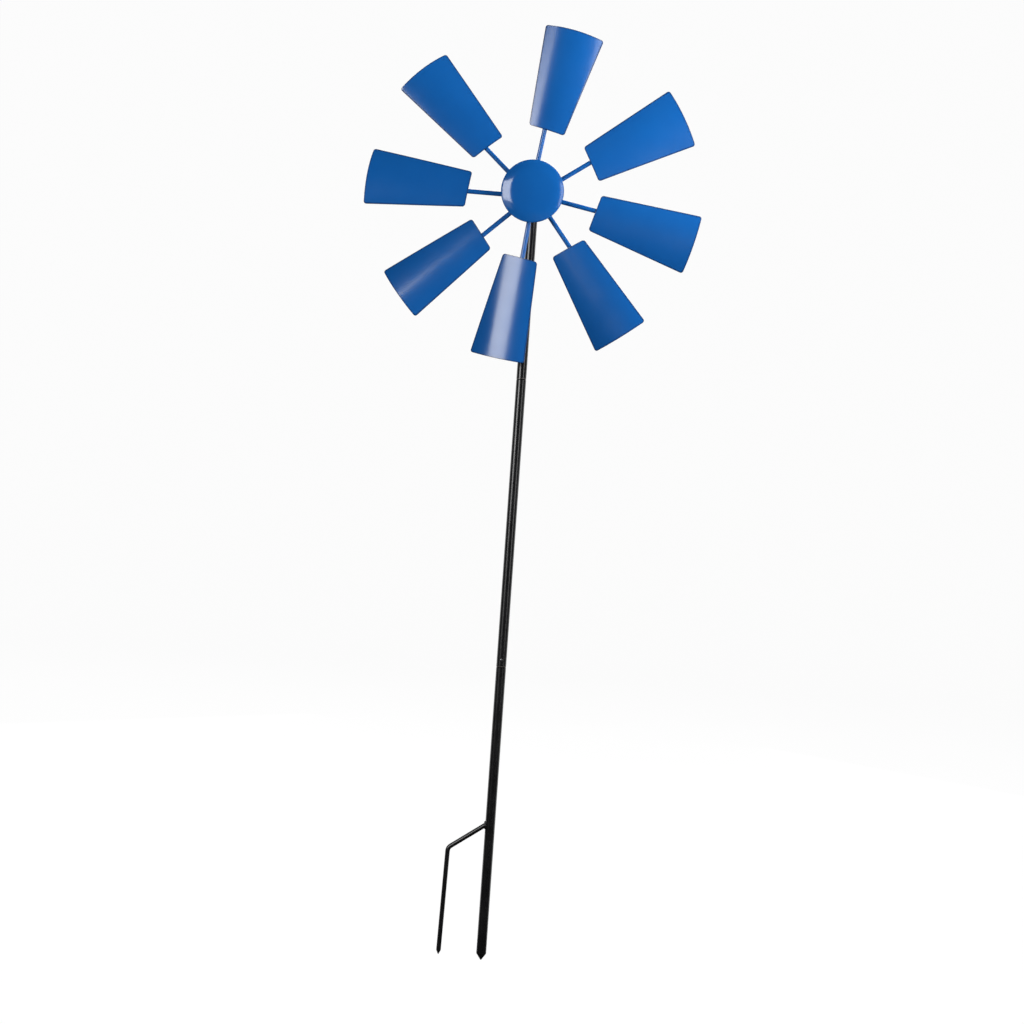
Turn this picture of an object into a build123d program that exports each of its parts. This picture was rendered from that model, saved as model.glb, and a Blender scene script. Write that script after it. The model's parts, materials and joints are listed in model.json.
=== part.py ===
from build123d import *
from math import asin, cos, pi, radians, sin, sqrt
import os

# Garden windmill: a tube pole on a two-prong stake, with a rotor that turns on a fixed axle.
# Millimetres. +Z is up and Z = 0 is the ground. The pole's axis is the Z axis, and the rotor
# faces -Y. "Front" below is a distance from the pole's axis towards -Y.

# Pole: three lengths of one tube, each necked at its top end to plug into the next.
STAKE_DEPTH = 200
LOWER_SEAM = 305
SECTION_LENGTH = 496
UPPER_SEAM = LOWER_SEAM + SECTION_LENGTH
AXLE_HEIGHT = 1112
POLE_RADIUS = 8.5
POLE_BORE = 7.3
NECK_RADIUS = 7.25
NECK_BORE = 6.25
NECK_LENGTH = 40
SHOULDER = 1.5
BORE_TAPER = 6
POINT_LENGTH = 11
POINT_BLUNT = 0.9
PLUG_LENGTH = 20

# Snap buttons that lock the pole's joints. The lower one faces the front, the upper one the back.
BUTTON_ABOVE_SEAM = 13
BUTTON_RADIUS = 2.5
BUTTON_TOP = 9.9
BUTTON_ROUND = 1.3
BUTTON_HOLE = 2.85
FLANGE_RADIUS = 3.5
FLANGE_BACK = 3.6
FLANGE_FRONT = 4.6
LEAF_WIDTH = 5
LEAF_THICKNESS = 0.5
LEAF_GAP = 0.05
LEAF_REAR = 5.5
LEAF_ABOVE = 5
LEAF_BELOW = 20

# Side prong: a bent rod beside the stake, welded to the pole above the ground.
PRONG_RADIUS = 4
PRONG_WELD_HEIGHT = 37.5
PRONG_BEND = (-70, -12)
PRONG_TIP = (-74, -196)
PRONG_BEND_RADIUS = 11
PRONG_POINT = 7
PRONG_BLUNT = 0.6
PRONG_BEAD = 6
PRONG_BEAD_FLARE = 4

# Head: a short tube across the pole's top, with the axle bolt through it.
HEAD_RADIUS = 11
HEAD_HALF = 16
AXLE_RADIUS = 4
AXLE_HOLE = 4.1
WASHER_RADIUS = 8
WASHER_THICKNESS = 1.6
BOLT_HEAD = 5.3
NUT_FLATS = 13
CLAMP_NUT = 6.5
LOCK_NUT = 8
BOLT_BEYOND = 2
BOLT_CHAMFER = 0.8
NUT_BEVEL_SHARE = 0.6
END_PLAY = 0.4
HEAD_WELD = 7
HEAD_WELD_FLARE = 2.4

# Hub: a barrel on two flanged bushes, welded through a drum that carries the spokes.
BUSH_BORE = 4.05
BUSH_RADIUS = 6.5
BUSH_LENGTH = 12
BUSH_FLANGE = 2
BUSH_FLANGE_RADIUS = 9.5
BARREL_RADIUS = 9
BARREL_LENGTH = 34
DRUM_RADIUS = 42
DRUM_WALL = 1.5
DRUM_BASE = 2
DRUM_EDGE = 4
BARREL_BEAD = 3
SPOKE_FRONT = 46
DRUM_REAR = SPOKE_FRONT - 10
DRUM_RIM = SPOKE_FRONT + 26

# Front cap: a pressed sheet cap, nearly flat in the middle, with a round shoulder and a lip.
CAP_RADIUS = 53
CAP_SHEET = 1.2
CROWN_RADIUS = 285
CROWN_EDGE = 33
SHOULDER_SLOPE = radians(26.5)
LIP_RADIUS = 2.5
CAP_SKIRT = 2
COLLAR_WALL = 1.2
COLLAR_DEPTH = 9
COLLAR_GAP = 0.1
CAP_SCREW_CLOCKS = (30, 160, 285)
CAP_SCREW_RADIUS = 2
CAP_SCREW_BEHIND_RIM = 4.5
CAP_SCREW_HEAD_RADIUS = 3.6
CAP_SCREW_HEAD = 2.4
CAP_SCREW_LENGTH = 7

# Spokes: rods with a threaded end through the drum's wall and a nut inside.
SPOKE_RADIUS = 4
SPOKE_END = 214
STUD_RADIUS = 3
STUD_HOLE = 3.15
STUD_LENGTH = 13
SHOULDER_CLEAR = 0.3
SPOKE_CHAMFER = 1
STUD_NUT = 5
STUD_NUT_FLATS = 10
STUD_WASHER_RADIUS = 6
STUD_WASHER = 1.2

# Blades: rolled sheet, tapered, welded to the front of the spokes.
BLADE_SHEET = 1
BLADE_ROLL = 125
BLADE_ROOT = 110
BLADE_TIP = 283
ROOT_HALF_WIDTH = 31.3
TIP_HALF_WIDTH = 50.7
BLADE_OFFSET = 3.5
BLADE_SKEW = radians(3.5)
ROOT_SLANT = radians(2.7)
TIP_BOW = 2.2
BLADE_CORNER = 4.5
BEAD_RADIUS = 1.8
BEAD_LENGTH = 22
BEAD_SIDE = 3.7
BEAD_FRONT = 2.5

# The spokes are put in by hand, so they aren't evenly set. For each: the clock angle of its hole
# in the drum, how far it leans from the radius, and its blade's pitch, all in degrees.
SPOKE_SETTINGS = (
    (3, 5.4, -4),
    (61, -5.3, 4),
    (102, -0.5, 13),
    (140, 2.5, 13),
    (184, 2.5, 12),
    (226, 1.4, 7),
    (265, 6.3, 6),
    (307, 5.6, 5),
)

BASE = (Align.CENTER, Align.CENTER, Align.MIN)
OVERCUT = 1


def turned(*profile):
    """A solid turned about Z from (radius, height) points."""
    return revolve(Plane.XZ * make_face(Polyline(*profile, close=True)), Axis.Z)


def rod(radius, low, high):
    return Pos(0, 0, low) * Cylinder(radius, high - low, align=BASE)


def washer(radius, hole, thickness):
    return rod(radius, 0, thickness) - rod(hole, -OVERCUT, thickness + OVERCUT)


def hexagon(flats, thickness):
    """A hexagonal prism with both ends chamfered round, as on a nut."""
    corner = flats / sqrt(3)
    prism = extrude(RegularPolygon(corner, 6), thickness)
    bevel = (corner - flats / 2) * NUT_BEVEL_SHARE
    envelope = turned(
        (0, 0),
        (flats / 2, 0),
        (corner, bevel),
        (corner, thickness - bevel),
        (flats / 2, thickness),
        (0, thickness),
    )
    return prism & envelope


def nut(flats, thickness, hole):
    return hexagon(flats, thickness) - rod(hole, -OVERCUT, thickness + OVERCUT)


def at_front(front):
    """A place on the axle line whose local Z points forwards."""
    return Plane(origin=(0, -front, AXLE_HEIGHT), x_dir=(1, 0, 0), z_dir=(0, -1, 0))


def facing(side, height):
    """A place on the pole's axis whose local Z points to the front (-1) or the back (1)."""
    return Plane(origin=(0, 0, height), x_dir=(1, 0, 0), z_dir=(0, side, 0))


def necked_pole(bottom, seam):
    """A pole section whose narrow top end stands above the seam, inside the next section."""
    top = seam + NECK_LENGTH
    outside = turned(
        (0, bottom),
        (POLE_RADIUS, bottom),
        (POLE_RADIUS, seam - SHOULDER),
        (NECK_RADIUS, seam),
        (NECK_RADIUS, top),
        (0, top),
    )
    inside = turned(
        (0, bottom - OVERCUT),
        (POLE_BORE, bottom - OVERCUT),
        (POLE_BORE, seam - BORE_TAPER),
        (NECK_BORE, seam),
        (NECK_BORE, top + OVERCUT),
        (0, top + OVERCUT),
    )
    return outside - inside


def button_hole(side, seam):
    return facing(side, seam + BUTTON_ABOVE_SEAM) * rod(BUTTON_HOLE, 0, POLE_RADIUS + OVERCUT)


def lower_pole():
    return necked_pole(POINT_LENGTH - STAKE_DEPTH, LOWER_SEAM) - button_hole(-1, LOWER_SEAM)


def middle_pole():
    section = necked_pole(LOWER_SEAM, UPPER_SEAM)
    return section - button_hole(-1, LOWER_SEAM) - button_hole(1, UPPER_SEAM)


def upper_pole():
    section = rod(POLE_RADIUS, UPPER_SEAM, AXLE_HEIGHT) - rod(POLE_BORE, UPPER_SEAM, AXLE_HEIGHT)
    return section - head_blank() - button_hole(1, UPPER_SEAM)


def stake_point():
    shoulder = POINT_LENGTH - STAKE_DEPTH
    return turned(
        (0, -STAKE_DEPTH),
        (POINT_BLUNT, -STAKE_DEPTH),
        (POLE_RADIUS, shoulder),
        (POLE_BORE, shoulder),
        (POLE_BORE, shoulder + PLUG_LENGTH),
        (0, shoulder + PLUG_LENGTH),
    )


def snap_button(side, seam):
    button = turned(
        (0, FLANGE_BACK),
        (FLANGE_RADIUS, FLANGE_BACK),
        (FLANGE_RADIUS, FLANGE_FRONT),
        (BUTTON_RADIUS, FLANGE_FRONT),
        (BUTTON_RADIUS, BUTTON_TOP),
        (0, BUTTON_TOP),
    )
    button = fillet(button.edges().group_by(Axis.Z)[-1], BUTTON_ROUND)
    return facing(side, seam + BUTTON_ABOVE_SEAM) * button


def snap_spring(side, seam):
    """A U of flat spring strip: one leg behind the button, the other against the bore."""
    button_height = seam + BUTTON_ABOVE_SEAM
    front = FLANGE_BACK - LEAF_GAP
    outer = (front + LEAF_REAR) / 2
    middle = (front - LEAF_REAR) / 2
    leg_height = LEAF_ABOVE + LEAF_BELOW
    leg = Box(LEAF_WIDTH, LEAF_THICKNESS, leg_height, align=BASE)
    leg_middle = outer - LEAF_THICKNESS / 2
    legs = Pos(0, middle + leg_middle, 0) * leg + Pos(0, middle - leg_middle, 0) * leg
    across = Plane(origin=(0, middle, 0), x_dir=(0, 1, 0), z_dir=(1, 0, 0))
    ring = Cylinder(outer, LEAF_WIDTH) - Cylinder(outer - LEAF_THICKNESS, LEAF_WIDTH)
    lower_half = Pos(0, -outer, 0) * Box(2 * outer, 2 * outer, LEAF_WIDTH)
    clip = legs + across * (ring & lower_half)
    turn = 180 if side < 0 else 0
    return Pos(0, 0, button_height - LEAF_BELOW) * Rot(0, 0, turn) * clip


def prong_line():
    start = (0, 0, PRONG_WELD_HEIGHT)
    bend = (PRONG_BEND[0], 0, PRONG_BEND[1])
    tip = Vector(PRONG_TIP[0], 0, PRONG_TIP[1])
    shaft_end = tip + (Vector(*bend) - tip).normalized() * PRONG_POINT
    return start, bend, shaft_end, tip


def prong():
    start, bend, shaft_end, tip = prong_line()
    path = FilletPolyline(start, bend, shaft_end, radius=PRONG_BEND_RADIUS)
    section = Plane(origin=start, z_dir=path % 0) * Circle(PRONG_RADIUS)
    point = Plane(origin=shaft_end, z_dir=tip - shaft_end) * Cone(
        PRONG_RADIUS, PRONG_BLUNT, PRONG_POINT, align=BASE
    )
    return sweep(section, path) + point - rod(POLE_RADIUS, -STAKE_DEPTH, LOWER_SEAM)


def prong_weld():
    start, bend, *_ = prong_line()
    slope = (Vector(*bend) - Vector(*start)).normalized()
    bead = Plane(origin=start, z_dir=slope) * Cone(
        PRONG_RADIUS + PRONG_BEAD_FLARE, PRONG_RADIUS, POLE_RADIUS + PRONG_BEAD, align=BASE
    )
    return bead - rod(POLE_RADIUS, -STAKE_DEPTH, LOWER_SEAM) - prong()


def head_blank():
    return at_front(-HEAD_HALF) * rod(HEAD_RADIUS, 0, 2 * HEAD_HALF)


def head_tube():
    return at_front(-HEAD_HALF) * washer(HEAD_RADIUS, AXLE_HOLE, 2 * HEAD_HALF)


def head_weld():
    low = AXLE_HEIGHT - HEAD_RADIUS - HEAD_WELD / 2
    wide = POLE_RADIUS + HEAD_WELD_FLARE
    flare = Pos(0, 0, low) * Cone(POLE_RADIUS, wide, HEAD_WELD, align=BASE)
    return flare - rod(POLE_RADIUS, UPPER_SEAM, AXLE_HEIGHT) - head_blank()


# The axle's stack, from the back of the head tube to the bolt's front end.
BOLT_SEAT = -HEAD_HALF - WASHER_THICKNESS
CLAMP_NUT_BACK = HEAD_HALF + WASHER_THICKNESS
REAR_FLANGE_BACK = CLAMP_NUT_BACK + CLAMP_NUT + END_PLAY
BARREL_BACK = REAR_FLANGE_BACK + BUSH_FLANGE
BARREL_FRONT = BARREL_BACK + BARREL_LENGTH
FRONT_WASHER_BACK = BARREL_FRONT + BUSH_FLANGE + END_PLAY
LOCK_NUT_BACK = FRONT_WASHER_BACK + WASHER_THICKNESS
BOLT_END = LOCK_NUT_BACK + LOCK_NUT + BOLT_BEYOND


def axle_bolt():
    shank = rod(AXLE_RADIUS, 0, BOLT_END - BOLT_SEAT)
    shank = chamfer(shank.edges().group_by(Axis.Z)[-1], BOLT_CHAMFER)
    head = Pos(0, 0, -BOLT_HEAD) * hexagon(NUT_FLATS, BOLT_HEAD)
    return at_front(BOLT_SEAT) * (shank + head)


def axle_washer(back):
    return at_front(back) * washer(WASHER_RADIUS, AXLE_HOLE, WASHER_THICKNESS)


def axle_nut(back, thickness):
    return at_front(back) * nut(NUT_FLATS, thickness, AXLE_RADIUS)


def bush():
    """A flanged bush whose flange stands below Z = 0 and whose sleeve goes up from there."""
    sleeve = rod(BUSH_RADIUS, 0, BUSH_LENGTH) + rod(BUSH_FLANGE_RADIUS, -BUSH_FLANGE, 0)
    return sleeve - rod(BUSH_BORE, -BUSH_FLANGE - OVERCUT, BUSH_LENGTH + OVERCUT)


def front_bush():
    return at_front(BARREL_FRONT) * Rot(180, 0, 0) * bush()


def hub_barrel():
    return at_front(BARREL_BACK) * washer(BARREL_RADIUS, BUSH_RADIUS, BARREL_LENGTH)


def spoke_line(setting):
    """The rotor's centre place for one spoke: local Z runs out along it, local -Y faces front."""
    clock, lean, _ = setting
    hub = Pos(0, -SPOKE_FRONT, AXLE_HEIGHT) * Rot(0, clock, 0)
    return hub * Pos(0, 0, DRUM_RADIUS) * Rot(0, lean, 0) * Pos(0, 0, -DRUM_RADIUS)


def screw_line(clock):
    front = DRUM_RIM - CAP_SCREW_BEHIND_RIM
    return Pos(0, -front, AXLE_HEIGHT) * Rot(0, clock, 0)


def hub_drum():
    depth = DRUM_RIM - DRUM_REAR
    can = rod(DRUM_RADIUS, 0, depth)
    can = fillet(can.edges().group_by(Axis.Z)[0], DRUM_EDGE)
    hollow = rod(DRUM_RADIUS - DRUM_WALL, DRUM_BASE, depth + OVERCUT)
    hollow = fillet(hollow.edges().group_by(Axis.Z)[0], DRUM_EDGE - DRUM_WALL)
    drum = at_front(DRUM_REAR) * (can - hollow - rod(BARREL_RADIUS, -OVERCUT, depth))
    for setting in SPOKE_SETTINGS:
        drum -= spoke_line(setting) * rod(STUD_HOLE, DRUM_RADIUS / 2, DRUM_RADIUS + OVERCUT)
    for clock in CAP_SCREW_CLOCKS:
        hole = rod(CAP_SCREW_RADIUS + COLLAR_GAP, DRUM_RADIUS / 2, DRUM_RADIUS + OVERCUT)
        drum -= screw_line(clock) * hole
    return drum


def barrel_weld():
    fillet_ring = turned(
        (BARREL_RADIUS, 0),
        (BARREL_RADIUS + BARREL_BEAD, 0),
        (BARREL_RADIUS, -BARREL_BEAD),
    )
    return at_front(DRUM_REAR) * fillet_ring


def cap_blank(inset):
    """The cap as a solid turned form, its surface moved inwards by the inset."""
    crown_slope = asin(CROWN_EDGE / CROWN_RADIUS)
    lip_centre = (CAP_RADIUS - LIP_RADIUS, CAP_SKIRT)
    shoulder_end = lip_centre[0] + LIP_RADIUS * sin(SHOULDER_SLOPE)
    shoulder_radius = (shoulder_end - CROWN_EDGE) / (sin(SHOULDER_SLOPE) - sin(crown_slope))
    shoulder_centre = (
        lip_centre[0] - (shoulder_radius - LIP_RADIUS) * sin(SHOULDER_SLOPE),
        lip_centre[1] - (shoulder_radius - LIP_RADIUS) * cos(SHOULDER_SLOPE),
    )
    crown_centre = (
        0,
        shoulder_centre[1] - (CROWN_RADIUS - shoulder_radius) * cos(crown_slope),
    )

    def on_arc(centre, radius, slope):
        reach = radius - inset
        return (centre[0] + reach * sin(slope), centre[1] + reach * cos(slope))

    apex = on_arc(crown_centre, CROWN_RADIUS, 0)
    crown_middle = on_arc(crown_centre, CROWN_RADIUS, crown_slope / 2)
    crown_end = on_arc(crown_centre, CROWN_RADIUS, crown_slope)
    shoulder_middle = on_arc(
        shoulder_centre, shoulder_radius, (crown_slope + SHOULDER_SLOPE) / 2
    )
    lip_start = on_arc(lip_centre, LIP_RADIUS, SHOULDER_SLOPE)
    lip_middle = on_arc(lip_centre, LIP_RADIUS, (SHOULDER_SLOPE + pi / 2) / 2)
    lip_end = on_arc(lip_centre, LIP_RADIUS, pi / 2)
    bottom = -OVERCUT if inset else 0
    outline = [
        ThreePointArc(apex, crown_middle, crown_end),
        ThreePointArc(crown_end, shoulder_middle, lip_start),
        ThreePointArc(lip_start, lip_middle, lip_end),
        Line(lip_end, (lip_end[0], bottom)),
        Line((lip_end[0], bottom), (0, bottom)),
        Line((0, bottom), apex),
    ]
    return revolve(Plane.XZ * make_face(outline), Axis.Z)


def front_cap():
    return at_front(DRUM_RIM) * (cap_blank(0) - cap_blank(CAP_SHEET))


def cap_collar():
    """A ring inside the drum's wall, welded to the cap and cut to its inner surface."""
    radius = DRUM_RADIUS - DRUM_WALL - COLLAR_GAP
    behind = rod(radius, -COLLAR_DEPTH, 0) + cap_blank(CAP_SHEET)
    ring = rod(radius, -COLLAR_DEPTH, COLLAR_DEPTH) - rod(
        radius - COLLAR_WALL, -COLLAR_DEPTH - OVERCUT, COLLAR_DEPTH + OVERCUT
    )
    collar = at_front(DRUM_RIM) * (ring & behind)
    for clock in CAP_SCREW_CLOCKS:
        collar -= screw_line(clock) * rod(CAP_SCREW_RADIUS, DRUM_RADIUS / 2, DRUM_RADIUS)
    return collar


def cap_screws():
    shank = rod(CAP_SCREW_RADIUS, DRUM_RADIUS - CAP_SCREW_LENGTH, DRUM_RADIUS)
    head = rod(CAP_SCREW_HEAD_RADIUS, DRUM_RADIUS, DRUM_RADIUS + CAP_SCREW_HEAD)
    head = fillet(head.edges().group_by(Axis.Z)[-1], CAP_SCREW_HEAD / 2)
    return [screw_line(clock) * (shank + head) for clock in CAP_SCREW_CLOCKS]


def spoke_blank():
    """A rod whose shoulder just clears the drum's wall, so that it can lean, and its stud."""
    shoulder = DRUM_RADIUS + SHOULDER_CLEAR
    bar = rod(SPOKE_RADIUS, shoulder, SPOKE_END)
    bar = chamfer(bar.edges().group_by(Axis.Z)[-1], SPOKE_CHAMFER)
    return bar + rod(STUD_RADIUS, DRUM_RADIUS - STUD_LENGTH, shoulder)


def washer_seat(setting):
    """How far out along the spoke the flat washer can lie inside the drum's round wall."""
    offset = DRUM_RADIUS * sin(abs(radians(setting[1])))
    inside = DRUM_RADIUS - DRUM_WALL - COLLAR_GAP
    return sqrt(inside**2 - (offset + STUD_WASHER_RADIUS) ** 2)


def spoke_washers():
    ring = washer(STUD_WASHER_RADIUS, STUD_HOLE, STUD_WASHER)
    places = [(s, washer_seat(s) - STUD_WASHER) for s in SPOKE_SETTINGS]
    return [spoke_line(s) * Pos(0, 0, out) * ring for s, out in places]


def spoke_nuts():
    stud_nut = nut(STUD_NUT_FLATS, STUD_NUT, STUD_RADIUS)
    places = [(s, washer_seat(s) - STUD_WASHER - STUD_NUT) for s in SPOKE_SETTINGS]
    return [spoke_line(s) * Pos(0, 0, out) * stud_nut for s, out in places]


def blade_outline():
    """The blade seen from the front, root down, with the spoke along the vertical axis."""
    along = Vector(sin(BLADE_SKEW), cos(BLADE_SKEW))
    across = Vector(cos(BLADE_SKEW), -sin(BLADE_SKEW))
    root_across = Vector(cos(BLADE_SKEW + ROOT_SLANT), -sin(BLADE_SKEW + ROOT_SLANT))
    root = Vector(BLADE_OFFSET, BLADE_ROOT)
    tip = root + along * (BLADE_TIP - BLADE_ROOT)
    root_left = root - root_across * ROOT_HALF_WIDTH
    root_right = root + root_across * ROOT_HALF_WIDTH
    tip_left = tip - across * TIP_HALF_WIDTH
    tip_right = tip + across * TIP_HALF_WIDTH
    edges = [
        Line(root_left, tip_left),
        ThreePointArc(tip_left, tip + along * TIP_BOW, tip_right),
        Line(tip_right, root_right),
        Line(root_right, root_left),
    ]
    sheet = make_face(edges)
    return fillet(sheet.vertices(), BLADE_CORNER)


def blade_blank():
    """A rolled sheet whose inner face rests along the front of the spoke."""
    inner = BLADE_ROLL - BLADE_SHEET
    axis = Pos(0, inner - SPOKE_RADIUS, 0)
    sheet = axis * (
        rod(BLADE_ROLL, BLADE_ROOT / 2, BLADE_TIP + BLADE_ROOT)
        - rod(inner, BLADE_ROOT / 2 - OVERCUT, BLADE_TIP + BLADE_ROOT + OVERCUT)
    )
    prism = extrude(Plane.XZ * blade_outline(), SPOKE_RADIUS + 2 * BLADE_SHEET)
    prism += extrude(Plane.XZ * blade_outline(), -BLADE_ROLL / 2)
    return sheet & prism


def weld_blanks(blade):
    """Four beads in the corners between a spoke and its blade, two at each end of the joint."""
    starts = (BLADE_ROOT + BEAD_RADIUS, SPOKE_END - BEAD_LENGTH - BEAD_RADIUS)
    beads = []
    for start in starts:
        for side in (-1, 1):
            bead = Pos(side * BEAD_SIDE, -BEAD_FRONT, 0) * rod(
                BEAD_RADIUS, start, start + BEAD_LENGTH
            )
            bead = chamfer(bead.edges().filter_by(GeomType.CIRCLE), BEAD_RADIUS / 2)
            beads.append(bead - spoke_blank() - blade)
    return beads


def save(name, *solids):
    """Writes one node, as a single solid or as a group of separate solids."""
    separate = [solid for shape in solids for solid in shape.solids()]
    node = separate[0] if len(separate) == 1 else Compound(children=separate)
    node.label = name
    export_step(node, f"parts/{name}.step")


def build_stand():
    save("lower_pole", lower_pole())
    save("stake_point", stake_point())
    save("prong", prong())
    save("prong_weld", prong_weld())
    save("middle_pole", middle_pole())
    save("upper_pole", upper_pole())
    save("head_tube", head_tube())
    save("head_weld", head_weld())
    for name, side, seam in (("lower", -1, LOWER_SEAM), ("upper", 1, UPPER_SEAM)):
        save(f"{name}_snap_button", snap_button(side, seam))
        save(f"{name}_snap_spring", snap_spring(side, seam))


def build_axle():
    save("axle_bolt", axle_bolt())
    save("head_washers", axle_washer(BOLT_SEAT), axle_washer(HEAD_HALF))
    save("clamp_nut", axle_nut(CLAMP_NUT_BACK, CLAMP_NUT))
    save("front_washer", axle_washer(FRONT_WASHER_BACK))
    save("lock_nut", axle_nut(LOCK_NUT_BACK, LOCK_NUT))


def build_hub():
    save("hub_barrel", hub_barrel())
    save("rear_bush", at_front(BARREL_BACK) * bush())
    save("front_bush", front_bush())
    save("hub_drum", hub_drum())
    save("barrel_weld", barrel_weld())
    save("front_cap", front_cap())
    save("cap_collar", cap_collar())
    save("cap_screws", *cap_screws())


def build_vanes():
    spoke = spoke_blank()
    blade = blade_blank()
    beads = weld_blanks(blade)
    welds = []
    for number, setting in enumerate(SPOKE_SETTINGS, 1):
        line = spoke_line(setting)
        pitch = Rot(0, 0, setting[2])
        save(f"spoke_{number}", line * spoke)
        save(f"blade_{number}", line * pitch * blade)
        welds += [line * pitch * bead for bead in beads]
    save("blade_welds", *welds)
    save("spoke_washers", *spoke_washers())
    save("spoke_nuts", *spoke_nuts())


os.makedirs("parts", exist_ok=True)
build_stand()
build_axle()
build_hub()
build_vanes()
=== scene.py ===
import json
from math import asin, cos, pi, radians, sin, sqrt, tan

import bmesh
import bpy
from mathutils import Matrix, Vector


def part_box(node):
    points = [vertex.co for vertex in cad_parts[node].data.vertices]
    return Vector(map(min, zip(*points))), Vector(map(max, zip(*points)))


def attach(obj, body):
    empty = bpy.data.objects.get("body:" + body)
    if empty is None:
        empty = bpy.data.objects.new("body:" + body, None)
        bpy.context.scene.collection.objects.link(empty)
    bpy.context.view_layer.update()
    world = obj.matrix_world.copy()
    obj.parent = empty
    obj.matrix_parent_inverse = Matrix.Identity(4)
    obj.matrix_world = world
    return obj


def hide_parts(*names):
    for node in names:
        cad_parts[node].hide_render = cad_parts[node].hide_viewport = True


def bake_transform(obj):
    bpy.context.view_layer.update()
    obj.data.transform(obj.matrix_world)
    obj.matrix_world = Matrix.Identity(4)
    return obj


# Garden windmill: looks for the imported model. Metres, +Z up, Z = 0 is the ground, and the rotor
# faces -Y. The pole, hub and fasteners are the frame's own nodes with better materials. The
# blades, the front cap, the weld beads and the snap springs are replaced by finer meshes in the
# same places.

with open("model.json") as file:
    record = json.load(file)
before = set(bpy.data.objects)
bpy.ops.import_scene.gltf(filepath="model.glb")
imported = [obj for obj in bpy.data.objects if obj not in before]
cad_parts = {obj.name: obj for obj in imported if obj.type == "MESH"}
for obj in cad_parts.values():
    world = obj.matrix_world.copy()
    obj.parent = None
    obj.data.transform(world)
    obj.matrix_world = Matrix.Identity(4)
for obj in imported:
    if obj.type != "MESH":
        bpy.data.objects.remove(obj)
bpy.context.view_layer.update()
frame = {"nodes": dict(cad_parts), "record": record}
NODES = frame["nodes"]

POLE_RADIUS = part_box("upper_pole")[1].x
SEAM_HEIGHTS = [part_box(node)[0].z for node in ("middle_pole", "upper_pole")]
# Width of the painted highlight line just above each pole seam.
SEAM_HIGHLIGHT_WIDTH = 0.0016
STAKE_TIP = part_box("stake_point")[0].z
HEAD_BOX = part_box("head_tube")
AXLE_HEIGHT = (HEAD_BOX[0].z + HEAD_BOX[1].z) / 2
HEAD_RADIUS = (HEAD_BOX[1].z - HEAD_BOX[0].z) / 2
CAP_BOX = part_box("front_cap")
CAP_RADIUS = (CAP_BOX[1].x - CAP_BOX[0].x) / 2
CAP_BACK = CAP_BOX[1].y
DRUM_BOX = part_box("hub_drum")
DRUM_RADIUS = (DRUM_BOX[1].x - DRUM_BOX[0].x) / 2
DRUM_BACK = DRUM_BOX[1].y
BARREL_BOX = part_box("hub_barrel")
BARREL_RADIUS = (BARREL_BOX[1].x - BARREL_BOX[0].x) / 2

# Camera: level, in front and a little to the right, rolled so that the pole leans.
CAMERA_DISTANCE = 3.0
CAMERA_AZIMUTH = radians(2.6)
CAMERA_HEIGHT = 0.572
CAMERA_ROLL = radians(4.0)
CAMERA_SENSOR = 36
CAMERA_LENS = 61.3

# Stage: one turned surface, flat in the middle, that curves up into a round wall.
FLOOR_GAP = 0.0005
FLOOR_RADIUS = 6
COVE_RADIUS = 3
WALL_HEIGHT = 12
COVE_STEPS = 16

# Lights, each a rectangle that faces the hub: its name, its azimuth and elevation in degrees as
# seen from the hub (azimuth 0 is straight in front of the rotor, positive is to the right), its
# distance in metres, its width and height in degrees, its radiance, and if it shows in gloss.
WORLD_STRENGTH = 0.03
SOFTBOXES = (
    ("left_softbox", -39.5, 8.5, 5, 28, 27, 10.2, True),
    ("left_low_card", -44, -11, 4, 26, 12, 1.1, True),
    ("right_strip", 50, 6, 4, 16, 38, 4, True),
    ("right_near_card", 67, 9, 0.9, 42, 58, 6.2, False),
    ("right_side_card", 85, 32, 0.7, 40, 60, 4.0, False),
    ("low_fill", 45, -35, 1.7, 80, 20, 3.6, False),
    ("back_softbox", 180, 30, 4, 40, 30, 5, True),
    ("back_low_fill", 200, -5, 2.5, 60, 30, 2.5, False),
    ("back_left", -135, -5, 3, 60, 60, 1, True),
    ("back_right", 135, -5, 3, 60, 60, 1, True),
)

# Spokes and blades, as the design has them. For each: the clock angle of its hole in the drum,
# how far it leans from the radius, and its blade's pitch, all in degrees.
SPOKE_SETTINGS = (
    (3, 5.4, -4),
    (61, -5.3, 4),
    (102, -0.5, 13),
    (140, 2.5, 13),
    (184, 2.5, 12),
    (226, 1.4, 7),
    (265, 6.3, 6),
    (307, 5.6, 5),
)
SPOKE_PLANE = -0.046
SPOKE_RADIUS = 0.004
SPOKE_END = 0.214
BLADE_SHEET = 0.001
BLADE_ROLL = 0.125
BLADE_ROOT = 0.110
BLADE_TIP = 0.283
ROOT_HALF_WIDTH = 0.0313
TIP_HALF_WIDTH = 0.0507
BLADE_OFFSET = 0.0035
BLADE_SKEW = radians(3.5)
ROOT_SLANT = radians(2.7)
TIP_BOW = 0.0022
BLADE_CORNER = 0.0045
LEAST_CORNER = 0.0001
END_BOW_POWER = 8
BLADE_ROWS = 56
BLADE_COLUMNS = 32
CORNER_STEPS = 7
RIM_STEPS = 4
RIM_SHADE_WIDTH = 0.0026

# Front cap, as the design has it: a flat crown, a round shoulder, a lip and a short skirt.
CAP_SHEET = 0.0012
CROWN_RADIUS = 0.285
CROWN_EDGE = 0.033
SHOULDER_SLOPE = radians(26.5)
LIP_RADIUS = 0.0025
CAP_SKIRT = 0.002
CAP_STEPS = 24
TURN_STEPS = 128

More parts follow.
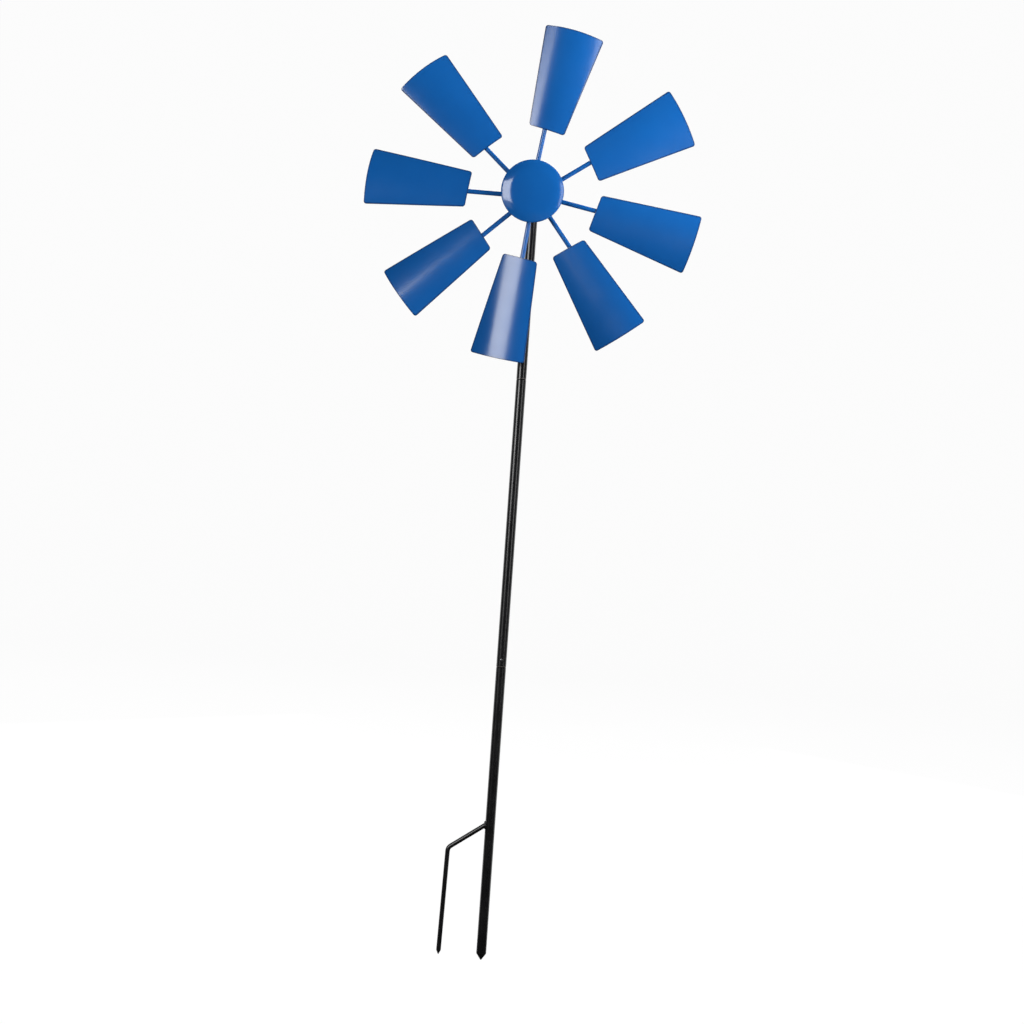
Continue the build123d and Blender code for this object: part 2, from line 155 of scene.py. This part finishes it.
# Weld beads, each a round bead with one ripple for every drop of weld metal.
PRONG_RADIUS = 0.004
PRONG_WELD_HEIGHT = 0.0375
PRONG_BEND = Vector((-0.070, 0, -0.012))
PRONG_SLOPE = (PRONG_BEND - Vector((0, 0, PRONG_WELD_HEIGHT))).normalized()
RING_BEAD = 0.0022
BLADE_BEAD = 0.0018
BLADE_BEAD_LENGTH = 0.022
BLADE_BEAD_SIDE = 0.0037
BLADE_BEAD_BACK = 0.0025
RIPPLE_PITCH = 0.0017
RIPPLE_STEPS = 8
RIPPLE_DEPTH = 0.11
RIPPLE_LAG = 0.45
BEAD_SIDES = 12
BEAD_END_STEPS = 6

# Snap clips: each is a U of flat spring strip.
CLIP_SHEET = 0.0005
CLIP_STEPS = 24
CLIP_EDGE_STEPS = 4


# ---------------------------------------------------------------- node helpers

# The colour sockets of Blender's Mix node, which has others of the same names.
COLOUR_A = 6
COLOUR_B = 7
MIXED_COLOUR = 2


class Nodes:
    """A short way to write a material's nodes."""

    def __init__(self, name):
        self.material = bpy.data.materials.new(name)
        self.material.use_nodes = True
        self.tree = self.material.node_tree
        self.shader = self.tree.nodes["Principled BSDF"]

    def add(self, kind, **settings):
        node = self.tree.nodes.new("ShaderNode" + kind)
        for key, value in settings.items():
            setattr(node, key, value)
        return node

    def join(self, source, target):
        self.tree.links.new(source, target)

    def place(self):
        """Object coordinates, which are the frame's own metres."""
        return self.add("TexCoord").outputs["Object"]

    def height(self, source):
        parts = self.add("SeparateXYZ")
        self.join(source, parts.inputs["Vector"])
        return parts.outputs["Z"]

    def stretched(self, source, scale):
        mapping = self.add("Mapping")
        mapping.inputs["Scale"].default_value = scale
        self.join(source, mapping.inputs["Vector"])
        return mapping.outputs["Vector"]

    def noise(self, source, scale, detail):
        node = self.add("TexNoise")
        node.inputs["Scale"].default_value = scale
        node.inputs["Detail"].default_value = detail
        self.join(source, node.inputs["Vector"])
        return node.outputs["Fac"]

    def voronoi(self, source, scale):
        node = self.add("TexVoronoi")
        node.inputs["Scale"].default_value = scale
        self.join(source, node.inputs["Vector"])
        return node.outputs["Distance"]

    def ramp(self, source, low, high, start, end):
        """Source from low to high becomes start to end, smoothly, and is held beyond."""
        node = self.add("MapRange")
        node.interpolation_type = "SMOOTHSTEP"
        node.inputs["From Min"].default_value = low
        node.inputs["From Max"].default_value = high
        node.inputs["To Min"].default_value = start
        node.inputs["To Max"].default_value = end
        self.join(source, node.inputs["Value"])
        return node.outputs["Result"]

    def product(self, first, second):
        """A socket times another socket or a number."""
        node = self.add("Math", operation="MULTIPLY")
        self.join(first, node.inputs[0])
        if isinstance(second, float):
            node.inputs[1].default_value = second
        else:
            self.join(second, node.inputs[1])
        return node.outputs["Value"]

    def mix(self, factor, first, second):
        """A colour between two colours, each a plain colour or a socket."""
        node = self.add("Mix", data_type="RGBA")
        self.join(factor, node.inputs["Factor"])
        for socket, value in ((node.inputs[COLOUR_A], first), (node.inputs[COLOUR_B], second)):
            if isinstance(value, tuple):
                socket.default_value = (*value, 1)
            else:
                self.join(value, socket)
        return node.outputs[MIXED_COLOUR]

    def bump(self, height, distance, strength=0.5, under=None):
        node = self.add("Bump")
        node.inputs["Strength"].default_value = strength
        node.inputs["Distance"].default_value = distance
        self.join(height, node.inputs["Height"])
        if under is not None:
            self.join(under, node.inputs["Normal"])
        return node.outputs["Normal"]

    def band(self, source, low, high):
        """1 midway from low to high, and 0 at both and beyond."""
        middle = (low + high) / 2
        rise = self.ramp(source, low, middle, 0, 1)
        fall = self.ramp(source, middle, high, 1, 0)
        return self.product(rise, fall)

    def attribute(self, name):
        return self.add("Attribute", attribute_name=name).outputs["Fac"]

    def set(self, **sockets):
        """Sets shader sockets by name, with _ for a space."""
        for key, value in sockets.items():
            socket = self.shader.inputs[key.replace("_", " ")]
            if isinstance(value, bpy.types.NodeSocket):
                self.join(value, socket)
            else:
                socket.default_value = (*value, 1) if isinstance(value, tuple) else value
        return self.material


# ---------------------------------------------------------------- materials


BLUE = (0.0037, 0.070, 0.254)
BLUE_DEEP = (0.0034, 0.065, 0.240)
BLUE_LIGHT = (0.0080, 0.082, 0.284)
# Painted shade at the blades' rims, partly also the colour of thin paint there.
BLUE_THIN_PAINT_AND_SHADE = (0.0030, 0.018, 0.070)
BLACK = (0.0035, 0.0035, 0.0038)
BLACK_CLOUD = (0.0065, 0.0065, 0.007)
DUST = (0.03, 0.03, 0.031)
# Painted highlight: the lighter colour of the line at each pole seam.
SEAM_HIGHLIGHT = (0.07, 0.06, 0.055)
ZINC = (0.55, 0.56, 0.57)
ZINC_YELLOWED = (0.66, 0.64, 0.58)
STEEL_DARK = (0.20, 0.20, 0.21)
STEEL_LIGHT = (0.38, 0.38, 0.39)
NYLON = (0.72, 0.70, 0.62)
NYLON_LIGHT = (0.80, 0.79, 0.73)
STAGE_GREY = (0.035, 0.035, 0.035)
STAGE_GREY_LIGHT = (0.04, 0.04, 0.04)
STAGE_WHITE = (1.0, 1.0, 1.0)
STAGE_GLOW = 0.965

# Noise scales below are features per metre, and bump distances are metres.


def powder_blue(name, roughness):
    """Blue powder coat: faint clouding, an orange-peel skin and a thin broken dark line at the rims,
    painted shade on thin paint.
    """
    m = Nodes(name)
    place = m.place()
    clouds = m.noise(place, scale=9, detail=3)
    grain = m.noise(place, scale=1400, detail=2)
    colour = m.mix(m.ramp(clouds, 0.35, 0.65, 0, 1), BLUE_DEEP, BLUE)
    colour = m.mix(m.ramp(grain, 0.62, 0.78, 0, 0.35), colour, BLUE_LIGHT)
    broken = m.noise(place, scale=420, detail=3)
    # Painted shade: a thin, broken dark line along the rims, where the paint is also thin.
    painted_light_line = m.product(m.attribute("edge"), m.ramp(broken, 0.3, 0.7, 0.8, 1))
    colour = m.mix(painted_light_line, colour, BLUE_THIN_PAINT_AND_SHADE)
    handled = m.noise(place, scale=26, detail=4)
    rough = m.ramp(handled, 0.3, 0.7, roughness * 0.9, roughness * 1.12)
    peel = m.bump(m.noise(place, scale=420, detail=1), distance=24e-6)
    skin = m.bump(grain, distance=3e-6, under=peel)
    return m.set(Base_Color=colour, Roughness=rough, Normal=skin)


def gloss_black(name):
    """Black gloss paint on tube: long soft draw lines, dust specks and a painted highlight line at
    each seam.
    """
    m = Nodes(name)
    place = m.place()
    draw = m.noise(m.stretched(place, (1, 1, 0.03)), scale=420, detail=3)
    clouds = m.noise(place, scale=14, detail=3)
    specks = m.ramp(m.voronoi(place, scale=330), 0.03, 0.075, 1, 0)
    colour = m.mix(m.ramp(clouds, 0.35, 0.7, 0, 1), BLACK, BLACK_CLOUD)
    colour = m.mix(m.product(specks, 0.4), colour, DUST)
    # Painted highlight: a lighter line just above each seam, where the tube's end would catch light.
    for seam in SEAM_HEIGHTS:
        painted_light_line = m.band(m.height(place), seam, seam + SEAM_HIGHLIGHT_WIDTH)
        colour = m.mix(m.product(painted_light_line, 0.8), colour, SEAM_HIGHLIGHT)
    rough = m.ramp(m.noise(place, scale=60, detail=4), 0.3, 0.7, 0.19, 0.25)
    peel = m.bump(m.noise(place, scale=300, detail=1), distance=2e-6)
    skin = m.bump(draw, distance=1e-6, under=peel)
    return m.set(Base_Color=colour, Roughness=rough, Normal=skin, Specular_IOR_Level=0.42)


def zinc_plate(name):
    """Bright zinc on steel fasteners, with fine turning marks and a dull bloom."""
    m = Nodes(name)
    place = m.place()
    bloom = m.noise(place, scale=240, detail=4)
    marks = m.noise(m.stretched(place, (1, 12, 1)), scale=900, detail=2)
    colour = m.mix(m.ramp(bloom, 0.35, 0.7, 0, 1), ZINC, ZINC_YELLOWED)
    rough = m.ramp(bloom, 0.3, 0.7, 0.24, 0.42)
    normal = m.bump(marks, distance=30e-6)
    return m.set(Base_Color=colour, Metallic=1.0, Roughness=rough, Normal=normal)


def spring_steel(name):
    """Bare spring strip, with rolling marks along it."""
    m = Nodes(name)
    marks = m.noise(m.stretched(m.place(), (1, 1, 0.08)), scale=1600, detail=3)
    colour = m.mix(m.ramp(marks, 0.3, 0.7, 0, 1), STEEL_DARK, STEEL_LIGHT)
    rough = m.ramp(marks, 0.3, 0.7, 0.28, 0.4)
    normal = m.bump(marks, distance=20e-6)
    return m.set(Base_Color=colour, Metallic=1.0, Roughness=rough, Normal=normal)


def nylon(name):
    """Natural nylon bushes, slightly cloudy and matte."""
    m = Nodes(name)
    place = m.place()
    clouds = m.noise(place, scale=160, detail=3)
    colour = m.mix(m.ramp(clouds, 0.3, 0.7, 0, 1), NYLON, NYLON_LIGHT)
    rough = m.ramp(clouds, 0.3, 0.7, 0.42, 0.55)
    normal = m.bump(m.noise(place, scale=2200, detail=2), distance=30e-6, strength=0.4)
    return m.set(Base_Color=colour, Roughness=rough, Normal=normal, Subsurface_Weight=0.1)


def stage_white(name):
    """A white that glows, so that the floor and wall stay even and pale."""
    m = Nodes(name)
    clouds = m.noise(m.place(), scale=1.5, detail=2)
    colour = m.mix(m.ramp(clouds, 0.3, 0.7, 0, 1), STAGE_GREY, STAGE_GREY_LIGHT)
    m.set(Base_Color=colour, Roughness=0.9, Specular_IOR_Level=0.0)
    return m.set(Emission_Color=STAGE_WHITE, Emission_Strength=STAGE_GLOW)


MATERIALS = {
    "black_paint": gloss_black("black_gloss_paint"),
    "blue_paint": powder_blue("blue_satin_paint", 0.20),
    "cap_paint": powder_blue("blue_gloss_paint", 0.13),
    "zinc": zinc_plate("zinc_plate"),
    "spring_steel": spring_steel("spring_steel"),
    "nylon": nylon("nylon"),
}


def paint_frame():
    """Gives every node of the frame the finish of its slot in the record."""
    for row in frame["record"]["subparts"]:
        node = NODES[row["node"]]
        for place in node.material_slots:
            place.material = MATERIALS[row["material_slot"]]


# ---------------------------------------------------------------- pieces and turned forms


def add_piece(name, data, slot, node):
    """A new piece that has its slot's finish and stands for that node."""
    piece = bpy.data.objects.new(name, data)
    bpy.context.scene.collection.objects.link(piece)
    data.materials.append(MATERIALS[slot])
    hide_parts(node)
    return piece


def finished_mesh(name, mesh):
    """A mesh with its faces turned outwards and smooth."""
    bmesh.ops.recalc_face_normals(mesh, faces=mesh.faces)
    data = bpy.data.meshes.new(name)
    mesh.to_mesh(data)
    mesh.free()
    for face in data.polygons:
        face.use_smooth = True
    return data


def join_rings(mesh, first, second):
    """A band of faces between two rings with the same number of points."""
    for i in range(len(first)):
        k = (i + 1) % len(first)
        mesh.faces.new((first[i], second[i], second[k], first[k]))


def turned_mesh(name, profile):
    """A surface turned about Z from (radius, height) points; a radius of 0 is a single point."""
    mesh = bmesh.new()
    rings = []
    for radius, height in profile:
        count = TURN_STEPS if radius > 0 else 1
        turns = [2 * pi * i / TURN_STEPS for i in range(count)]
        rings.append([mesh.verts.new((radius * cos(t), radius * sin(t), height)) for t in turns])
    for first, second in zip(rings, rings[1:]):
        for i in range(TURN_STEPS):
            k = (i + 1) % TURN_STEPS
            corners = [first[i % len(first)], second[i % len(second)]]
            corners += [second[k % len(second)], first[k % len(first)]]
            mesh.faces.new(list(dict.fromkeys(corners)))
    return finished_mesh(name, mesh)


# ---------------------------------------------------------------- blades


def spoke_frame(setting):
    """The place of one spoke: local Z runs out along it, and local -Y faces front."""
    clock, lean, _ = (radians(value) for value in setting)
    hub = Matrix.Translation((0, SPOKE_PLANE, AXLE_HEIGHT)) @ Matrix.Rotation(clock, 4, "Y")
    root = Matrix.Translation((0, 0, DRUM_RADIUS))
    return hub @ root @ Matrix.Rotation(lean, 4, "Y") @ root.inverted()


def blade_frame(setting):
    """The place of one blade: its spoke's place, turned by the blade's pitch."""
    return spoke_frame(setting) @ Matrix.Rotation(radians(setting[2]), 4, "Z")


def end_shares(steps, corner, length):
    """Shares along a side that crowd towards its two rounded ends."""
    arc = [(1 - cos(pi / 2 * i / CORNER_STEPS)) * corner / length for i in range(CORNER_STEPS)]
    middle = [corner / length + (1 - 2 * corner / length) * i / steps for i in range(steps + 1)]
    return arc + middle + [1 - share for share in reversed(arc)]


def blade_row(share, inset):
    """How far from the root a share of the blade's length is, and the half width there, for the
    blade's outline moved in by inset."""
    length = BLADE_TIP - BLADE_ROOT
    corner = max(BLADE_CORNER - inset, LEAST_CORNER)
    run = length - 2 * inset
    from_root = inset + share * run
    half = ROOT_HALF_WIDTH + (TIP_HALF_WIDTH - ROOT_HALF_WIDTH) * from_root / length - inset
    nearest = min(share, 1 - share) * run
    if nearest < corner:
        half -= corner - sqrt(corner**2 - (corner - nearest) ** 2)
    return from_root, half


def blade_point(share, across, inset, height):
    """A point of the blade: share is along it, across from -1 to 1, height above mid-sheet."""
    from_root, half = blade_row(share, inset)
    u = across * half
    length = BLADE_TIP - BLADE_ROOT
    near_tip = (from_root / length) ** END_BOW_POWER
    near_root = (1 - from_root / length) ** END_BOW_POWER
    tip_bow = TIP_BOW * (1 - (u / TIP_HALF_WIDTH) ** 2) * near_tip
    root_slant = -u * tan(ROOT_SLANT) * near_root
    v = from_root + tip_bow + root_slant
    x = BLADE_OFFSET + v * sin(BLADE_SKEW) + u * cos(BLADE_SKEW)
    z = BLADE_ROOT + v * cos(BLADE_SKEW) - u * sin(BLADE_SKEW)
    inner = BLADE_ROLL - BLADE_SHEET
    reach = inner + BLADE_SHEET / 2 + height
    turn = asin(x / (inner + BLADE_SHEET / 2))
    return Vector((reach * sin(turn), inner - SPOKE_RADIUS - reach * cos(turn), z))


def blade_mesh(name):
    """A closed rolled sheet with a rounded rim, and how near each point is to the rim."""
    length = BLADE_TIP - BLADE_ROOT
    shares = end_shares(BLADE_ROWS, BLADE_CORNER, length)
    columns = [2 * i / BLADE_COLUMNS - 1 for i in range(BLADE_COLUMNS + 1)]
    half_sheet = BLADE_SHEET / 2
    mesh = bmesh.new()
    edge_layer = mesh.verts.layers.float.new("edge")

    def grid(side):
        rows = []
        for share in shares:
            row = []
            for across in columns:
                vert = mesh.verts.new(blade_point(share, across, half_sheet, side * half_sheet))
                from_root, half = blade_row(share, half_sheet)
                near = min((1 - abs(across)) * half, from_root, length - from_root)
                vert[edge_layer] = max(0.0, 1 - near / RIM_SHADE_WIDTH)
                row.append(vert)
            rows.append(row)
        for low, high in zip(rows, rows[1:]):
            for i in range(BLADE_COLUMNS):
                face = (low[i], low[i + 1], high[i + 1], high[i])
                mesh.faces.new(face if side < 0 else face[::-1])
        return rows

    def around(last):
        """The grid's border, once round."""
        bottom = [(0, i) for i in range(BLADE_COLUMNS)]
        right = [(j, BLADE_COLUMNS) for j in range(last)]
        top = [(last, i) for i in range(BLADE_COLUMNS, 0, -1)]
        left = [(j, 0) for j in range(last, 0, -1)]
        return bottom + right + top + left

    front = grid(1)
    back = grid(-1)
    border = around(len(shares) - 1)
    loops = [[front[j][i] for j, i in border]]
    for step in range(1, RIM_STEPS):
        angle = pi / 2 - pi * step / RIM_STEPS
        inset = half_sheet * (1 - cos(angle))
        height = half_sheet * sin(angle)
        loop = []
        for j, i in border:
            vert = mesh.verts.new(blade_point(shares[j], columns[i], inset, height))
            vert[edge_layer] = 1.0
            loop.append(vert)
        loops.append(loop)
    loops.append([back[j][i] for j, i in border])
    for upper, lower in zip(loops, loops[1:]):
        for i in range(len(border)):
            k = (i + 1) % len(border)
            mesh.faces.new((upper[i], upper[k], lower[k], lower[i]))
    return finished_mesh(name, mesh)


def build_blades():
    """One rolled sheet on the front of each spoke."""
    for number, setting in enumerate(SPOKE_SETTINGS, 1):
        data = blade_mesh(f"blade_{number}_sheet")
        data.transform(blade_frame(setting))
        blade = add_piece(f"blade_{number}_sheet", data, "blue_paint", f"blade_{number}")
        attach(blade, "rotor")


# ---------------------------------------------------------------- front cap


def cap_profile():
    """The cap's section from its apex round the skirt and back, heights from its back edge."""
    crown_slope = asin(CROWN_EDGE / CROWN_RADIUS)
    lip = (CAP_RADIUS - LIP_RADIUS, CAP_SKIRT)
    shoulder_end = lip[0] + LIP_RADIUS * sin(SHOULDER_SLOPE)
    shoulder_radius = (shoulder_end - CROWN_EDGE) / (sin(SHOULDER_SLOPE) - sin(crown_slope))
    beyond_lip = shoulder_radius - LIP_RADIUS
    shoulder = (lip[0] - beyond_lip * sin(SHOULDER_SLOPE), lip[1] - beyond_lip * cos(SHOULDER_SLOPE))
    crown = (0, shoulder[1] - (CROWN_RADIUS - shoulder_radius) * cos(crown_slope))
    arcs = (
        (crown, CROWN_RADIUS, 0, crown_slope),
        (shoulder, shoulder_radius, crown_slope, SHOULDER_SLOPE),
        (lip, LIP_RADIUS, SHOULDER_SLOPE, pi / 2),
    )

    def surface(inset):
        points = []
        for centre, radius, low, high in arcs:
            for i in range(CAP_STEPS):
                slope = low + (high - low) * i / CAP_STEPS
                reach = radius - inset
                points.append((centre[0] + reach * sin(slope), centre[1] + reach * cos(slope)))
        return points

    half = CAP_SHEET / 2
    rim_angles = [pi * i / CAP_STEPS for i in range(CAP_STEPS + 1)]
    rim = [(CAP_RADIUS - half * (1 - cos(a)), half * (1 - sin(a))) for a in rim_angles]
    return surface(0) + rim + surface(CAP_SHEET)[::-1]


def build_cap():
    """The cap's section turned about the axle."""
    data = turned_mesh("front_cap_pressing", cap_profile())
    data.transform(Matrix.Translation((0, CAP_BACK, AXLE_HEIGHT)) @ Matrix.Rotation(pi / 2, 4, "X"))
    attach(add_piece("front_cap_pressing", data, "cap_paint", "front_cap"), "rotor")


# ---------------------------------------------------------------- weld beads


def add_bead(mesh, line, thickness, closed):
    """Adds a rippled bead along a line of (point, outward) pairs, with round ends if it is open."""
    last = len(line) - 1
    rings = []
    for i, (point, outward) in enumerate(line):
        before = line[i - 1][0] if closed or i else point
        after = line[(i + 1) % len(line)][0] if closed or i < last else point
        along = (after - before).normalized()
        side = along.cross(outward).normalized()
        out = side.cross(along)
        reach = thickness * (1 - RIPPLE_DEPTH * (1 - abs(sin(pi * i / RIPPLE_STEPS))))
        if not closed:
            reach *= sin(pi / 2 * min(1, (min(i, last - i) + 1) / BEAD_END_STEPS))
        ring = []
        for step in range(BEAD_SIDES):
            angle = 2 * pi * step / BEAD_SIDES
            lag = along * (thickness * RIPPLE_LAG * sin(angle) ** 2)
            ring.append(mesh.verts.new(point + (out * cos(angle) + side * sin(angle)) * reach - lag))
        rings.append(ring)
    pairs = list(zip(rings, rings[1:]))
    if closed:
        pairs.append((rings[-1], rings[0]))
    else:
        mesh.faces.new(rings[0])
        mesh.faces.new(rings[-1])
    for first, second in pairs:
        join_rings(mesh, first, second)


def ring_angles(radius):
    """Angles once round a ring, with a whole number of ripples."""
    count = RIPPLE_STEPS * round(2 * pi * radius / RIPPLE_PITCH)
    return [2 * pi * i / count for i in range(count)]


def prong_weld_line():
    """Round the prong's rod, where it meets the wall of the pole."""
    start = Vector((0, 0, PRONG_WELD_HEIGHT))
    level = Vector((0, 1, 0))
    above = PRONG_SLOPE.cross(level)
    line = []
    for angle in ring_angles(PRONG_RADIUS):
        outward = level * cos(angle) + above * sin(angle)
        on_rod = start + outward * PRONG_RADIUS
        x = -sqrt(POLE_RADIUS**2 - on_rod.y**2)
        point = on_rod + PRONG_SLOPE * ((x - on_rod.x) / PRONG_SLOPE.x)
        line.append((point, outward + Vector((point.x, point.y, 0)).normalized()))
    return line


def head_weld_line():
    """Round the top of the pole, under the tube that lies across it."""
    line = []
    for angle in ring_angles(POLE_RADIUS):
        x, y = POLE_RADIUS * cos(angle), POLE_RADIUS * sin(angle)
        drop = sqrt(HEAD_RADIUS**2 - x**2)
        outward = Vector((cos(angle), sin(angle), 0)) + Vector((x, 0, -drop)) / HEAD_RADIUS
        line.append((Vector((x, y, AXLE_HEIGHT - drop)), outward))
    return line


def barrel_weld_line():
    """Round the barrel, against the back of the drum."""
    line = []
    for angle in ring_angles(BARREL_RADIUS):
        outward = Vector((cos(angle), 0, sin(angle)))
        point = Vector((0, DRUM_BACK, AXLE_HEIGHT)) + outward * BARREL_RADIUS
        line.append((point, outward + Vector((0, 1, 0))))
    return line


def blade_weld_lines(place):
    """Four short beads behind a blade, in the corners between it and its spoke."""
    steps = RIPPLE_STEPS * round(BLADE_BEAD_LENGTH / RIPPLE_PITCH)
    starts = (BLADE_ROOT + BLADE_BEAD, SPOKE_END - BLADE_BEAD_LENGTH - BLADE_BEAD)
    for start in starts:
        for side in (-1, 1):
            outward = (place.to_3x3() @ Vector((side, 1, 0))).normalized()
            line = []
            for i in range(steps + 1):
                along = start + BLADE_BEAD_LENGTH * i / steps
                point = Vector((side * BLADE_BEAD_SIDE, -BLADE_BEAD_BACK, along))
                line.append((place @ point, outward))
            yield line


def build_welds():
    """Three ring beads, and the short beads behind all the blades as one piece."""
    rings = (
        ("prong_weld", prong_weld_line(), "stand", "black_paint"),
        ("head_weld", head_weld_line(), "stand", "black_paint"),
        ("barrel_weld", barrel_weld_line(), "rotor", "blue_paint"),
    )
    for node, line, body, slot in rings:
        mesh = bmesh.new()
        add_bead(mesh, line, RING_BEAD, True)
        bead = add_piece(f"{node}_bead", finished_mesh(f"{node}_bead", mesh), slot, node)
        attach(bead, body)
    mesh = bmesh.new()
    for setting in SPOKE_SETTINGS:
        for line in blade_weld_lines(blade_frame(setting)):
            add_bead(mesh, line, BLADE_BEAD, False)
    data = finished_mesh("blade_weld_beads", mesh)
    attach(add_piece("blade_weld_beads", data, "blue_paint", "blade_welds"), "rotor")


# ---------------------------------------------------------------- snap clips


def clip_side(box):
    """1 if the button's leg is the back one, or -1 if it is the front one. The other leg lies
    against the bore, so the button's leg is the one nearer to the pole's axis."""
    return -1 if box[0].y + box[1].y > 0 else 1


def clip_line(box):
    """The middle of the strip, from the top of the far leg round the bend to the button's leg,
    as pairs of a point and the direction out of the U."""
    side = clip_side(box)
    half_sheet = CLIP_SHEET / 2
    middle = (box[0].y + box[1].y) / 2
    radius = (box[1].y - box[0].y) / 2 - half_sheet
    top = box[1].z
    bend = box[0].z + half_sheet + radius
    line = []
    for i in range(CLIP_STEPS):
        height = top + (bend - top) * i / CLIP_STEPS
        line.append((Vector((0, middle - side * radius, height)), Vector((0, -side, 0))))
    for i in range(CLIP_STEPS + 1):
        angle = pi * i / CLIP_STEPS
        out = Vector((0, -side * cos(angle), -sin(angle)))
        line.append((Vector((0, middle, bend)) + out * radius, out))
    for i in range(1, CLIP_STEPS + 1):
        height = bend + (top - bend) * i / CLIP_STEPS
        line.append((Vector((0, middle + side * radius, height)), Vector((0, side, 0))))
    return line


def clip_mesh(name, box):
    """The clip's strip, with rounded edges, in its spring's box."""
    half_sheet = CLIP_SHEET / 2
    flat = (box[1].x - box[0].x) / 2 - half_sheet
    section = []
    for edge in (1, -1):
        for step in range(CLIP_EDGE_STEPS + 1):
            angle = pi * step / CLIP_EDGE_STEPS - pi / 2
            section.append((edge * (flat + half_sheet * cos(angle)), edge * half_sheet * sin(angle)))
    mesh = bmesh.new()
    rings = []
    for point, out in clip_line(box):
        rings.append([mesh.verts.new(point + Vector((x, 0, 0)) + out * y) for x, y in section])
    mesh.faces.new(rings[0])
    mesh.faces.new(rings[-1])
    for first, second in zip(rings, rings[1:]):
        join_rings(mesh, first, second)
    return finished_mesh(name, mesh)


def bend_clip(piece):
    """Bakes the clip's place into its mesh."""
    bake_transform(piece)


def build_clips():
    """The two snap clips, each made in its spring's box."""
    for end in ("lower", "upper"):
        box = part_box(f"{end}_snap_spring")
        data = clip_mesh(f"{end}_snap_clip", box)
        piece = add_piece(f"{end}_snap_clip", data, "spring_steel", f"{end}_snap_spring")
        bend_clip(piece)


# ---------------------------------------------------------------- stage, lights and camera


def build_stage():
    """The floor and its wall, left out of the windmill's reflections and bounced light."""
    floor = STAKE_TIP - FLOOR_GAP
    profile = [(0, floor)]
    for i in range(COVE_STEPS + 1):
        angle = pi / 2 * i / COVE_STEPS
        across = FLOOR_RADIUS + COVE_RADIUS * sin(angle)
        profile.append((across, floor + COVE_RADIUS * (1 - cos(angle))))
    profile.append((FLOOR_RADIUS + COVE_RADIUS, floor + WALL_HEIGHT))
    data = turned_mesh("studio_floor", profile)
    data.materials.append(stage_white("studio_white"))
    floor_piece = bpy.data.objects.new("studio_floor", data)
    bpy.context.scene.collection.objects.link(floor_piece)
    floor_piece.visible_glossy = False
    floor_piece.visible_diffuse = False


def softbox(name, azimuth, elevation, distance, wide, high, radiance, in_gloss):
    """An area light that faces the hub, unseen by the camera."""
    data = bpy.data.lights.new(name, "AREA")
    data.shape = "RECTANGLE"
    data.size = 2 * distance * tan(radians(wide / 2))
    data.size_y = 2 * distance * tan(radians(high / 2))
    data.energy = radiance * pi * data.size * data.size_y
    light = bpy.data.objects.new(name, data)
    bpy.context.scene.collection.objects.link(light)
    a, e = radians(azimuth), radians(elevation)
    out = Vector((sin(a) * cos(e), -cos(a) * cos(e), sin(e)))
    light.location = Vector((0, SPOKE_PLANE, AXLE_HEIGHT)) + out * distance
    light.rotation_mode = "QUATERNION"
    light.rotation_quaternion = out.to_track_quat("Z", "Y")
    light.visible_camera = False
    light.visible_glossy = in_gloss


def build_lights():
    """A faint even glow all round, and the softboxes."""
    world = bpy.data.worlds.new("studio")
    world.use_nodes = True
    background = world.node_tree.nodes["Background"]
    background.inputs["Color"].default_value = (1, 1, 1, 1)
    background.inputs["Strength"].default_value = WORLD_STRENGTH
    bpy.context.scene.world = world
    for settings in SOFTBOXES:
        softbox(*settings)


def build_camera():
    """A level camera that looks at the pole, rolled about its own line of sight."""
    data = bpy.data.cameras.new("camera")
    data.sensor_width = CAMERA_SENSOR
    data.lens = CAMERA_LENS
    camera = bpy.data.objects.new("camera", data)
    bpy.context.scene.collection.objects.link(camera)
    towards = Vector((-sin(CAMERA_AZIMUTH), cos(CAMERA_AZIMUTH), 0))
    level = Vector((cos(CAMERA_AZIMUTH), sin(CAMERA_AZIMUTH), 0))
    up = Vector((0, 0, 1))
    right = level * cos(CAMERA_ROLL) + up * sin(CAMERA_ROLL)
    top = up * cos(CAMERA_ROLL) - level * sin(CAMERA_ROLL)
    turn = Matrix((right, top, -towards)).transposed()
    place = Vector((0, 0, CAMERA_HEIGHT)) - towards * CAMERA_DISTANCE
    camera.matrix_world = Matrix.Translation(place) @ turn.to_4x4()
    bpy.context.scene.camera = camera
    bpy.context.scene.view_settings.view_transform = "Standard"


paint_frame()
build_blades()
build_cap()
build_welds()
build_clips()
build_stage()
build_lights()
build_camera()
